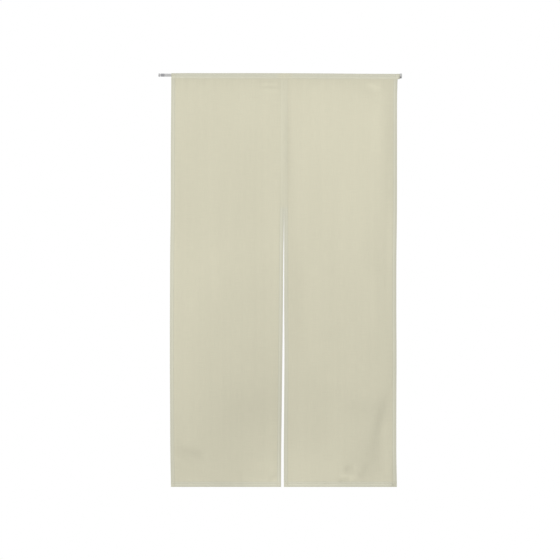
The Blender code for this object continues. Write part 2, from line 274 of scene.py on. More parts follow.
class Finish:
    def __init__(self, name, uniform):
        self.material = bpy.data.materials.new(name)
        self.material.use_nodes = True
        self.tree = self.material.node_tree
        self.shader = self.tree.nodes["Principled BSDF"]
        for socket, value in uniform.items():
            self.shader.inputs[socket].default_value = value

    def node(self, kind, settings=None, sockets=None, output=0):
        made = self.tree.nodes.new("ShaderNode" + kind)
        for name, value in (settings or {}).items():
            setattr(made, name, value)
        for key, value in (sockets or {}).items():
            self.feed(made.inputs[key], value)
        return Value(self, made.outputs[output])

    def feed(self, socket, value):
        if isinstance(value, Value):
            self.tree.links.new(value.socket, socket)
        else:
            socket.default_value = value

    def wire(self, socket, value):
        self.feed(self.shader.inputs[socket], value)

    def place(self):
        # the point's Object coordinates
        return self.node("TexCoord", None, None, 3)

    def attribute(self, name):
        # the plain number of a mesh attribute
        return self.node("Attribute", {"attribute_name": name}, None, 2)

    def apart(self, vector):
        split = self.node("SeparateXYZ", None, {0: vector}).socket.node
        return [Value(self, output) for output in split.outputs]

    def sine(self, value):
        return self.node("Math", {"operation": "SINE"}, {0: value})

    def absolute(self, value):
        return self.node("Math", {"operation": "ABSOLUTE"}, {0: value})

    def least(self, first, second):
        return self.node("Math", {"operation": "MINIMUM"}, {0: first, 1: second})

    def most(self, first, second):
        return self.node("Math", {"operation": "MAXIMUM"}, {0: first, 1: second})

    def step(self, value, start, end):
        # 0 below start and 1 above end, with a soft slope between
        settings = {"interpolation_type": "SMOOTHSTEP"}
        return self.node("MapRange", settings, {"Value": value, "From Min": start, "From Max": end})

    def band(self, value, centre, flat, reach):
        # 1 within flat of the centre and 0 beyond reach
        return 1 - self.step(self.absolute(value - centre), flat, reach)

    def stretched(self, x, y, z=0.0):
        return self.node("CombineXYZ", None, {0: x, 1: y, 2: z})

    def noise(self, vector, scale=1.0, detail=2.0, roughness=0.5):
        sockets = {"Vector": vector, "Scale": scale, "Detail": detail, "Roughness": roughness}
        return self.node("TexNoise", None, sockets)

    def mixColour(self, share, first, second, blend="MIX"):
        settings = {"data_type": "RGBA", "blend_type": blend}
        return self.node("Mix", settings, {0: share, 6: first, 7: second}, 2)

    def bump(self, height, strength, distance):
        sockets = {"Height": height, "Strength": strength, "Distance": distance}
        self.wire("Normal", self.node("Bump", None, sockets))


clothLook = {
    "uniform": {
        "Roughness": 0.88, "Sheen Weight": 0.12, "Sheen Roughness": 0.5, "Specular IOR Level": 0.22,
    },
    "colour": (0.636, 0.611, 0.470, 1),
    "hemColour": (0.618, 0.608, 0.492, 1),  # more layers let less light through, so they look greyer
    "highlightColour": (0.680, 0.665, 0.530, 1),  # painted highlight, on the crown of a hem and along the pocket
    "shadeLineColour": (0.560, 0.548, 0.432, 1),  # painted shade along the folded edges and in the grooves of the stitches
    "shadeLineStrength": 0.65,
    "crownHighlightStrength": 0.55,
    "betweenStitchesHighlight": 0.9,
    "edgeShadeStrength": 0.6,
    "bottomShadeStrength": 1.0,
    "seamShadeStrength": 0.45,
    "pocketHighlight": 0.55,  # painted highlight on the fullest line of the pocket, just above its seam
    # bands in from a folded edge or up from a line: the centre, half of the full part, and the reach
    "sideCrown": (0.0104, 0.0007, 0.0024),
    "bottomCrown": (0.0090, 0.0014, 0.0034),
    "pocketHighlightBand": (0.0042, 0.0008, 0.0030),
    # the same without the centre
    "betweenBand": (0.0006, 0.0022),
    "stitchBand": (0.0004, 0.0019),
    "seamBand": (0.0005, 0.0020),
    # where the painted shade of a folded edge starts to fade, and where it ends
    "sideEdge": (0.0040, 0.0080),
    "bottomEdge": (0.0032, 0.0062),
    "hemBlur": 0.0006,
    "seamBlur": 0.0010,
    "pocketTone": -0.055,  # above the pocket's fullest line
    "pocketToneDrop": 0.0080,
    "pocketToneWidth": 0.0050,
    "paintedShadingStart": 0.020,  # below the pocket, over which the painted light and shade fade in
    "pocketShadow": -0.08,  # painted shadow of the pocket, just below it
    "pocketShadowStart": 0.003,
    "pocketShadowReach": 0.030,
    "joinHighlight": 0.044,  # painted highlight where the two panels meet
    "joinHighlightWidth": 0.0045,
    "joinHighlightFade": 0.070,  # it is strongest at the top, and half as strong further down
    "joinHighlightEnd": 0.440,
    "joinHighlightEase": 0.100,
    "creaseShading": 16.0,  # painted shade in a crease's trough and painted light on its crest, for each metre of the crease's height
    "joinedHem": 0.75,  # how much less the hems show where they are sewn together
    "weavePitch": 0.0011,  # from one yarn to the next
    "weaveHeight": 0.35,
    "slubLength": 0.045,
    "slubWidth": 0.0012,
    "slubShade": 0.10,
    "slubHeight": 0.8,
    "cloudShade": 0.035,
    "cloudScale": (9.0, 3.5),  # across and along
    "streakScale": (60.0, 1.6),
    "bumpStrength": 0.5,
    "bumpHeight": 0.00012,
}


def clothFinish():
    look = clothLook
    made = Finish("clothFinish", look["uniform"])
    across, along, _ = made.apart(made.node("UVMap", {"uv_map": "flatCloth"}))
    fine, long = 1 / look["slubWidth"], 1 / look["slubLength"]
    weft = made.noise(made.stretched(across * long, along * fine, 3.0))
    warp = made.noise(made.stretched(across * fine, along * long, 7.0))
    cloudAcross, cloudAlong = look["cloudScale"]
    streakAcross, streakAlong = look["streakScale"]
    cloud = made.noise(made.stretched(across * cloudAcross, along * cloudAlong, 1.0), detail=3.0)
    streak = made.noise(made.stretched(across * streakAcross, along * streakAlong, 5.0), detail=1.0)
    shade = (weft - 0.5) * look["slubShade"] + (warp - 0.5) * look["slubShade"]
    shade = shade + (cloud - 0.5) * look["cloudShade"] + (streak - 0.5) * look["cloudShade"] + 1.0
    # more layers of cloth in the hems and the pocket
    width = curtain["panelWidth"] - curtain["joinGap"] / 2
    fromSide = made.least(across, width - across)
    sideEnd, bottomEnd, blur = curtain["sideHem"], curtain["bottomHem"], look["hemBlur"]
    sideHem = 1 - made.step(fromSide, sideEnd - blur, sideEnd + blur)
    bottomHem = 1 - made.step(along, bottomEnd - blur, bottomEnd + blur)
    seamAt = curtain["drop"] - curtain["pocketDepth"]
    pocket = made.step(along, seamAt - look["seamBlur"], seamAt + look["seamBlur"])
    shown = made.attribute("hemShown")
    layers = made.most(made.most(sideHem, bottomHem), pocket)
    base = made.mixColour(layers * shown, look["colour"], look["hemColour"])
    # painted highlights on the crowns of the hems and between the bottom stitches
    crownHighlight = made.most(made.band(fromSide, *look["sideCrown"]), made.band(along, *look["bottomCrown"]))
    between = made.band(along, sum(sewing["bottomStitches"]) / 2, *look["betweenBand"])
    crownHighlight = made.most(crownHighlight, between * look["betweenStitchesHighlight"])
    base = made.mixColour(crownHighlight * shown * look["crownHighlightStrength"], base, look["highlightColour"])
    # a painted highlight along the pocket's fullest line
    highlightAt, highlightFlat, highlightReach = look["pocketHighlightBand"]
    pocketHighlightMask = made.band(along, seamAt + highlightAt, highlightFlat, highlightReach)
    base = made.mixColour(pocketHighlightMask * look["pocketHighlight"], base, look["highlightColour"])
    # painted shade along the folded edges and lines of stitches
    lines = (1 - made.step(fromSide, *look["sideEdge"])) * look["edgeShadeStrength"]
    lines = made.most(lines, (1 - made.step(along, *look["bottomEdge"])) * look["bottomShadeStrength"])
    # each line of stitches: where it lies, and how strongly its painted shade shows
    stitchedLines = (
        (fromSide, sewing["sideStitch"] + 0.0010, 0.8),
        (along, sewing["bottomStitches"][0] + 0.0004, 0.45),
        (along, sewing["bottomStitches"][1], 0.3),
    )
    for distance, place, share in stitchedLines:
        lines = made.most(lines, made.band(distance, place, *look["stitchBand"]) * share)
    lines = made.most(lines, made.band(along, seamAt, *look["seamBand"]) * look["seamShadeStrength"])
    base = made.mixColour(lines * shown * look["shadeLineStrength"], base, look["shadeLineColour"])
    # painted light and shade, from the mesh's attribute
    shade = shade + made.attribute("tone")
    grey = made.node("CombineColor", None, {0: shade, 1: shade, 2: shade})
    made.wire("Base Color", made.mixColour(1.0, base, grey, "MULTIPLY"))
    turn = math.tau / 2 / look["weavePitch"]
    weave = made.sine(across * turn) * made.sine(along * turn)
    height = weave * look["weaveHeight"] + weft * look["slubHeight"] + warp * look["slubHeight"]
    made.bump(height, look["bumpStrength"], look["bumpHeight"])
    return made.material


threadLook = {
    "uniform": {"Roughness": 0.7, "Specular IOR Level": 0.3},
    "pale": (0.68, 0.65, 0.53, 1),
    "deep": (0.60, 0.57, 0.45, 1),
    "grainScale": 2600.0,
}


def threadFinish():
    made = Finish("threadFinish", threadLook["uniform"])
    grain = made.noise(made.place(), scale=threadLook["grainScale"])
    made.wire("Base Color", made.mixColour(grain, threadLook["pale"], threadLook["deep"]))
    return made.material


tubeLook = {
    "pale": (0.470, 0.470, 0.465, 1),
    "dull": (0.380, 0.380, 0.375, 1),  # where it is scuffed
    "dullShare": 0.6,
    "scuffScale": (900.0, 90.0, 90.0),  # the scuffs run round the tube
    "scuffEdge": (0.62, 0.74),
    "cloudScale": 40.0,
    "roughness": 0.22,
    "cloudRoughness": 0.16,
    "scuffRoughness": 0.15,
    "bump": (0.12, 0.00008),  # strength and height
}


def enamelFinish():
    look = tubeLook
    made = Finish("enamelFinish", {"Specular IOR Level": 0.5})
    place = made.place()
    scuffs = made.noise(made.node("Mapping", None, {0: place, 3: look["scuffScale"]}), detail=3.0)
    cloud = made.noise(place, scale=look["cloudScale"])
    worn = made.step(scuffs, *look["scuffEdge"])
    made.wire("Base Color", made.mixColour(worn * look["dullShare"], look["pale"], look["dull"]))
    rough = cloud * look["cloudRoughness"] + worn * look["scuffRoughness"] + look["roughness"]
    made.wire("Roughness", rough)
    made.bump(scuffs, *look["bump"])
    return made.material


# The left plug has a pale disc and a dark collar, and the right cap is pale with painted shade on its
# underside
footLook = {
    "discColour": (0.440, 0.440, 0.445, 1),
    # painted light: the neck is painted pale, against the shade in its groove
    "neckPaintedLightColour": (0.700, 0.700, 0.700, 1),
    "collarColour": (0.310, 0.310, 0.325, 1),
    "capColour": (0.520, 0.525, 0.510, 1),
    "capUndersideShade": (0.190, 0.190, 0.195, 1),
    "dustColour": (0.55, 0.55, 0.54, 1),
    "dustShare": 0.25,
    "dustEdge": (0.35, 0.8),
    "neckEdge": (0.0062, 0.0064),  # along the rod
    "collarEdge": (0.0088, 0.0090),
    "capSide": (0.40, 0.41),  # between the two feet
    "capFace": (0.8785, 0.8805),  # the painted shade is weaker on the cap's outer face
    "faceShadeCut": 0.6,
    "undersideShadeEdge": (-0.0060, 0.0030),  # in height
    "undersideShadeUneven": 0.003,
    "grainScale": 1800.0,
    "dustScale": 260.0,
    "roughness": 0.5,
    "grainRoughness": 0.2,
    "bump": (0.25, 0.00015),  # strength and height
}


def rubberFinish():
    look = footLook
    made = Finish("rubberFinish", {"Specular IOR Level": 0.35})
    place = made.place()
    along, _, height = made.apart(place)
    grain = made.noise(place, scale=look["grainScale"], detail=3.0)
    dust = made.noise(place, scale=look["dustScale"], detail=4.0)
    neck = made.step(along, *look["neckEdge"])
    collar = made.step(along, *look["collarEdge"])
    plug = made.mixColour(neck, look["discColour"], look["neckPaintedLightColour"])
    plug = made.mixColour(collar, plug, look["collarColour"])
    # painted shade on the cap's underside, with an uneven edge
    undersideShade = 1 - made.step(height + dust * look["undersideShadeUneven"], *look["undersideShadeEdge"])
    undersideShade = undersideShade * (1 - made.step(along, *look["capFace"]) * look["faceShadeCut"])
    cap = made.mixColour(undersideShade, look["capColour"], look["capUndersideShade"])
    base = made.mixColour(made.step(along, *look["capSide"]), plug, cap)
    speckles = made.step(dust, *look["dustEdge"]) * look["dustShare"]
    made.wire("Base Color", made.mixColour(speckles, base, look["dustColour"]))
    made.wire("Roughness", grain * look["grainRoughness"] + look["roughness"])
    made.bump(grain, *look["bump"])
    return made.material


finishes = {
    "cloth": clothFinish(),
    "thread": threadFinish(),
    "rod_enamel": enamelFinish(),
    "foot_rubber": rubberFinish(),
}
print("materials made")


def soft(value):
    # a smooth step from 0 to 1
    value = np.clip(value, 0.0, 1.0)
    return value * value * (3 - 2 * value)


def edgeOffset(column, drop):
    # a smooth curve through the outline's rows, never past the two rows that it runs between
    last = len(outlineRows) - 1
    place = max(i for i, row in enumerate(outlineRows[:-1]) if row.drop <= drop)
    rows = [outlineRows[min(max(place + k, 0), last)] for k in (-1, 0, 1, 2)]
    before, start, end, after = (getattr(row, column) for row in rows)
    span = rows[2].drop - rows[1].drop
    startSlope = (end - before) / max(rows[2].drop - rows[0].drop, span) * span
    endSlope = (after - start) / max(rows[3].drop - rows[1].drop, span) * span
    t = (drop - rows[1].drop) / span
    curved = (2 * t**3 - 3 * t**2 + 1) * start + (t**3 - 2 * t**2 + t) * startSlope
    curved += (3 * t**2 - 2 * t**3) * end + (t**3 - t**2) * endSlope
    return min(max(curved, min(start, end)), max(start, end))


def foldHeight(fold, x, drop):
    # a long soft ridge, which fades towards both ends of its line
    alongX, alongDrop = fold.endX - fold.startX, fold.endDrop - fold.startDrop
    length = math.hypot(alongX, alongDrop)
    along = ((x - fold.startX) * alongX + (drop - fold.startDrop) * alongDrop) / length**2
    across = ((x - fold.startX) * alongDrop - (drop - fold.startDrop) * alongX) / length
    rise = soft(along / foldFade) * soft((1 - along) / foldFade)
    return fold.height * rise * np.exp(-(across**2) / (2 * fold.halfWidth**2))


def unevenWave(place, length, seed):
    # a wave whose pitch and height wander, from three sines that never come round together
    turn = math.tau / length
    wave = np.sin(place * turn + seed) + 0.6 * np.sin(place * turn * 1.618 + 2.1 * seed)
    return (wave + 0.5 * np.sin(place * turn * 0.382 + 0.7 * seed)) / 2.1


def standingForward(panel, x, drop, fromSide, fromBottom):
    # how far the cloth stands towards the room
    below = drop - curtain["pocketDepth"]
    shared = sum(foldHeight(fold, x, drop) for fold in joinFolds)
    own = sum(foldHeight(fold, x, drop) for fold in panel.folds + panel.creases)
    joined = 1 - soft((drop - curtain["slitStart"]) / curtain["slitEase"])
    nearJoin = 1 - soft(np.abs(x - middle) / curtain["joinReach"])
    height = (shared + own * (1 - joined * nearJoin)) * soft(below / curtain["foldStart"])
    # the two slit edges share their waves, since they are sewn together above the slit
    length, reach = sewing["puckerLength"], sewing["puckerReach"]
    atSlit = np.abs(x - middle) < curtain["panelWidth"] / 2
    slitWave, sideWave = (unevenWave(drop, length, seed) for seed in (sewing["slitSeed"], panel.seed))
    sidePucker = np.where(atSlit, slitWave, sideWave) * np.exp(-fromSide / reach)
    hemPucker = unevenWave(x, length, panel.seed + 1) * np.exp(-fromBottom / reach)
    height += sewing["pucker"] * (sidePucker + hemPucker) * soft(below / sewing["puckerStart"])
    height += curtain["seamForward"] * (1 - soft(below / curtain["seamForwardReach"]))
    gather = unevenWave(x, sewing["gatherLength"], sewing["gatherSeed"])
    gather = gather * np.exp(-below / sewing["gatherReach"]) * soft(below / sewing["gatherStart"])
    return height + sewing["gather"] * gather


def hemRelief(distance, stitchLines):
    # puffed between the folded edge and the first line of stitches, and drawn in along each line
    share = np.clip(distance / stitchLines[0], 0, 1)
    relief = sewing["puff"] * np.sin(math.pi * share ** sewing["puffSkew"])
    for line in stitchLines:
        relief = relief - sewing["groove"] * np.exp(-(((distance - line) / sewing["grooveWidth"]) ** 2))
    return relief


# The cloth itself, finer than its solid
sheetBuild = {
    "thickness": 0.00045,
    "hemExtra": 0.00085,  # two more layers
    "layerEnd": (0.0003, 0.0007),  # how far inside a hem's line its layers start to thin, and the length
    "roundReach": 0.6,  # of a folded edge, as shares of the thickness
    "roundDepth": 0.36,
    "gridStep": 0.0050,
    "edgeSteps": (0.0, 0.0002, 0.0006, 0.0014, 0.0030, 0.0055),  # closer rows in from a folded edge
    "stitchStep": 0.0006,  # across a line of stitches
    "hemEndSteps": (-0.0003, 0.0004, 0.0020, 0.0052),  # where the hem's layers end
    "rollSteps": 26,
    "underSeam": (0.0, 0.0008, 0.0016, 0.0028, 0.0050, 0.0080),  # closer rows below the pocket's seam
    "frontShares": (0.12, 0.35, 0.7),  # rows from the seam to where the round form starts
    "frontBend": 0.0006,
    "flap": 0.0034,  # below the pocket's seam, behind
    "flapShares": (0.35, 0.7, 0.93, 1.0),
    "layerGap": 0.00012,
    "seamGroove": 0.00035,
    "seamGrooveWidth": 0.0012,
    "spreadStart": 0.3,  # how far below the pocket spread has its full reach
}


def fineThenEven(total, firstEnd, lastEnd, step):
    # places from 0 to total: close together near a hem at each end and even between
    inner = total - firstEnd[-1] - lastEnd[-1]
    count = max(2, round(inner / step))
    even = [firstEnd[-1] + inner * i / count for i in range(1, count)]
    return np.array(list(firstEnd) + even + [total - place for place in reversed(lastEnd)])


def hemPlaces(hem, stitchLines):
    # places across a hem, closer at its folded edge, at its stitches and where its layers end
    near = [*sheetBuild["edgeSteps"], stitchLines[0] * 0.7]
    for line in stitchLines:
        near += [line + k * sheetBuild["stitchStep"] for k in (-3, -2, -1, 0, 1, 2)]
        if line < stitchLines[-1]:
            near.append((line + stitchLines[-1]) / 2)
    near = [place for place in near if place < hem - 0.0005]
    return near + [hem + step for step in sheetBuild["hemEndSteps"]]


def pocketRadius(x):
    # from the rod's axis to the cloth's outer face
    return top - np.interp(x, [sag.x for sag in pocketSags], [sag.depth for sag in pocketSags])


def layerThickness(fromSide, fromEnd, endHem):
    extra = sheetBuild["hemExtra"]
    inside, length = sheetBuild["layerEnd"]
    side = 1 - soft((fromSide - curtain["sideHem"] + inside) / length)
    end = 1 - soft((fromEnd - endHem + inside) / length)
    return sheetBuild["thickness"] + extra * side + extra * end


def edgeRounding(distance, thickness):
    # how far each face draws in at a folded edge
    share = np.clip(distance / (thickness * sheetBuild["roundReach"]), 0, 1)
    return sheetBuild["roundDepth"] * thickness * (1 - np.sqrt(1 - (1 - share) ** 2))


def atJoin(x):
    # 1 on the two hems that are sewn together
    return 1 - soft((np.abs(x - middle) - curtain["sideHem"]) / sewing["joinFade"])


def betweenEdges(panel, share, drop):
    # along the rod, at a share of the way from the panel's left edge to its right one
    leftX = panel.left + edgeOffset(panel.leftEdge, drop)
    rightX = panel.right + edgeOffset(panel.rightEdge, drop)
    return leftX + share * (rightX - leftX)


def panelSurface(panel):
    # the outer face's points and the thickness there, in rows from the bottom edge over the rod to the flap
    sheet = sheetBuild
    width, seam = panel.right - panel.left, curtain["pocketDepth"]
    sideLine, bottomLines = (sewing["sideStitch"],), sewing["bottomStitches"]
    sidePlaces = hemPlaces(curtain["sideHem"], sideLine)
    bottomPlaces = hemPlaces(curtain["bottomHem"], bottomLines)
    across = fineThenEven(width, sidePlaces, sidePlaces, sheet["gridStep"])
    fromSide = np.minimum(across, width - across)
    heights = fineThenEven(curtain["drop"] - seam, bottomPlaces, sheet["underSeam"], sheet["gridStep"])
    drops = curtain["drop"] - heights
    rows = []
    joinedBelow = 1 - soft((drops - curtain["slitStart"]) / sewing["joinFade"])
    for drop, joined in zip(drops, joinedBelow):
        x = betweenEdges(panel, across / width, drop)
        fromBottom = np.full_like(x, curtain["drop"] - drop)
        joinEase = 1 - sewing["joinedEase"] * joined * atJoin(x)
        relief = hemRelief(fromSide, sideLine) * joinEase + hemRelief(fromBottom, bottomLines)
        relief -= sheet["seamGroove"] * np.exp(-(((drop - seam) / sheet["seamGrooveWidth"]) ** 2))
        forward = standingForward(panel, x, drop, fromSide, fromBottom) + relief
        thick = layerThickness(fromSide, fromBottom, curtain["bottomHem"])
        rounding = edgeRounding(np.minimum(fromSide, fromBottom), thick) * joinEase
        y = -curtain["solidSheet"] / 2 - forward + rounding
        rows.append((x, y, np.full_like(x, top - drop), thick - 2 * rounding))
    seamRow = len(rows) - 1
    # up the front to the rod, round it, and down again behind
    x = betweenEdges(panel, across / width, 0.0)
    thick = layerThickness(fromSide, np.full_like(x, 1.0), 0.0)
    joinEase = 1 - sewing["joinedEase"] * atJoin(x)
    rounding = edgeRounding(fromSide, thick) * joinEase
    radius = pocketRadius(x) + hemRelief(fromSide, sideLine) * joinEase - rounding
    flank, seamZ = curtain["pocketFlank"], top - seam
    frontY = rows[-1][1]
    backY = frontY + rows[-1][3] + sheet["layerGap"] + thick
    flankY, flankZ = -radius * math.sin(flank), -radius * math.cos(flank)
    thin = thick - 2 * rounding
    for share in sheet["frontShares"]:
        bend = sheet["frontBend"] * math.sin(math.pi * share)
        rows.append((x, frontY + (flankY - frontY) * share - bend, seamZ + (flankZ - seamZ) * share, thin))
    for angle in np.linspace(flank, math.tau - flank, sheet["rollSteps"] + 1):
        rows.append((x, -radius * math.sin(angle), -radius * math.cos(angle), thin))
    for share in (*reversed(sheet["frontShares"]), 0.0):
        rows.append((x, backY + (-flankY - backY) * share, seamZ + (flankZ - seamZ) * share, thin))
    backSeamRow = len(rows) - 1
    # the flap lies on the back of the cloth below the seam
    for share in sheet["flapShares"]:
        lower = sheet["flap"] * share
        x = betweenEdges(panel, across / width, seam + lower)
        rounding = edgeRounding(np.minimum(fromSide, sheet["flap"] - lower), thick)
        y = rows[seamRow][1] + 2 * thick + sheet["layerGap"] - rounding
        rows.append((x, y, np.full_like(x, seamZ - lower), thick - 2 * rounding))
    return across, [np.array(part) for part in zip(*rows)], seamRow, backSeamRow


def paintedClothShading(panel, outer):
    # the painted light and shade on the cloth, and how far its hems show
    look = clothLook
    x, drop = outer[0], top - outer[2]
    below = np.maximum(drop - curtain["pocketDepth"], 0.0)
    # painted shade and painted light along the listed lines and the creases
    tone = sum(foldHeight(fold, x, drop) for fold in panel.tones)
    tone = tone + look["creaseShading"] * sum(foldHeight(fold, x, drop) for fold in panel.creases)
    tone = tone * soft(below / look["paintedShadingStart"])
    # painted shadow just below the pocket's seam
    underSeam = np.exp(-below / look["pocketShadowReach"]) * soft(below / look["pocketShadowStart"])
    onPocket = np.exp(-(((drop - look["pocketToneDrop"]) / look["pocketToneWidth"]) ** 2))
    # a painted highlight along the join, strongest at the top
    nearJoin = np.exp(-(((x - middle) / look["joinHighlightWidth"]) ** 2))
    nearJoin *= 0.5 + 0.5 * np.exp(-drop / look["joinHighlightFade"])
    nearJoin *= 1 - soft((drop - look["joinHighlightEnd"]) / look["joinHighlightEase"])
    tone = tone + look["pocketShadow"] * underSeam + look["pocketTone"] * onPocket + look["joinHighlight"] * nearJoin
    atMouth = soft((x - mouth["from"]) / (mouth["to"] - mouth["from"]))
    atMouth *= soft((drop - mouth["lower"] / 2) / mouth["lower"])
    tone = tone + mouth["tone"] * atMouth
    joined = (1 - soft((drop - curtain["slitStart"]) / sewing["joinFade"])) * atJoin(x)
    return {"tone": tone, "hemShown": 1 - look["joinedHem"] * joined}


def pathLengths(outer):
    # how far up the flat cloth each row lies, along the middle column
    column = outer[0].shape[1] // 2
    dy, dz = np.diff(outer[1][:, column]), np.diff(outer[2][:, column])
    return np.concatenate([[0.0], np.cumsum(np.hypot(dy, dz))])


def innerFace(outer):
    # the cloth's other face, a thickness behind the outer one
    x, y, z, thick = outer
    dy, dz = np.gradient(y, axis=0), np.gradient(z, axis=0)
    size = np.hypot(dy, dz)
    return x, y + dz / size * thick, z - dy / size * thick


def gridFaces(rows, columns, base, flip):
    faces = []
    for r in range(rows - 1):
        for c in range(columns - 1):
            a = base + r * columns + c
            quad = (a, a + 1, a + columns + 1, a + columns)
            faces.append(quad[::-1] if flip else quad)
    return faces


def spread(x, y, z):
    # the edges were measured on the plane of the rod, so cloth behind it is drawn out a little from where
    # the camera looks, and all of it leans with the camera's roll
    below = np.maximum(top - curtain["pocketDepth"] - sheetBuild["flap"] - z, 0.0)
    behind = y + curtain["solidSheet"] / 2
    reach = 1 + behind / camera["distance"] * soft(below / sheetBuild["spreadStart"])
    plumb = (z - camera["z"]) * math.tan(camera["rolled"])
    return camera["x"] + (x - camera["x"]) * reach + plumb, y, camera["z"] + (z - camera["z"]) * reach


def buildPanel(panel):
    across, outer, seamRow, backSeamRow = panelSurface(panel)
    outer = [*spread(*outer[:3]), outer[3]]
    inner = innerFace(outer)
    rows, columns = outer[0].shape
    count = rows * columns
    points = np.concatenate([np.stack(face[:3], axis=-1).reshape(-1, 3) for face in (outer, inner)])
    faces = gridFaces(rows, columns, 0, False) + gridFaces(rows, columns, count, True)
    # the rims close the two faces all round: left, right, bottom and the flap's end
    rims = (
        range(0, count, columns), range(columns - 1, count, columns),
        range(columns), range(count - columns, count),
    )
    for rim in rims:
        faces += [(a, b, b + count, a + count) for a, b in zip(rim, rim[1:])]
    mesh = bpy.data.meshes.new(panel.name)
    mesh.from_pydata(points.tolist(), [], faces)
    lengths = pathLengths(outer)
    flat = np.stack(np.meshgrid(across, lengths), axis=-1).reshape(-1, 2)
    flat = np.concatenate([flat, flat])
    uv = mesh.uv_layers.new(name="flatCloth")
    corners = np.zeros(len(mesh.loops), int)
    mesh.loops.foreach_get("vertex_index", corners)
    uv.data.foreach_set("uv", flat[corners].astype(np.float32).ravel())
    for name, values in paintedClothShading(panel, outer).items():
        values = np.concatenate([values.ravel()] * 2).astype(np.float32)
        mesh.attributes.new(name, "FLOAT", "POINT").data.foreach_set("value", values)
    editable = bmesh.new()
    editable.from_mesh(mesh)
    bmesh.ops.recalc_face_normals(editable, faces=editable.faces)
    editable.to_mesh(mesh)
    editable.free()
    mesh.shade_smooth()
    mesh.set_sharp_from_angle(angle=math.radians(65))
    mesh.materials.append(finishes["cloth"])
    made = bpy.data.objects.new(panel.name, mesh)
    bpy.context.scene.collection.objects.link(made)
    return made, seamLines(across, outer, inner, seamRow, backSeamRow)


# Running stitches along the hems and the pocket
stitch = {
    "pitch": 0.0033,
    "length": 0.0029,
    "thread": 0.00062,
    "proud": 0.00014,  # how far the thread's middle stands off the cloth
    "edgeRoom": 4,  # columns and rows of the sheet left free next to a folded edge
    "unevenness": 0.12,
}


def seamLines(across, outer, inner, seamRow, backSeamRow):
    # the sheet's columns and rows nearest to each line of stitches, on both faces
    room, proud, side = stitch["edgeRoom"], stitch["proud"], sewing["sideStitch"]
    hemColumns = [int(np.argmin(np.abs(across - place))) for place in (side, across[-1] - side)]
    fromBottom = outer[2][:seamRow, 0] - outer[2][0, 0]
    hemRows = [int(np.argmin(np.abs(fromBottom - line))) for line in sewing["bottomStitches"]]
    front = np.stack([outer[0], outer[1] - proud, outer[2]], axis=-1)
    back = np.stack([inner[0], inner[1] + proud, inner[2]], axis=-1)
    flap = np.stack([outer[0], outer[1] + proud, outer[2]], axis=-1)
    lines = []
    for face in (front, back):
        lines += [face[room : seamRow - 1, column] for column in hemColumns]
        lines += [face[row, room:-room] for row in hemRows]
    return lines + [front[seamRow, room:-room], flap[backSeamRow, room:-room]]


# Short stitches that bridge the two panels' edges above the slit
joinSewing = {
    "pitch": 0.0026,
    "length": 0.0023,
    "thread": 0.00050,
    "slant": math.radians(76),
    "proud": 0.00006,
    "seed": 5,
    "belowSeam": 0.002,
    "pastJoin": 0.004,  # they end this far below the place where the slit starts
    "lineStep": 0.004,
}


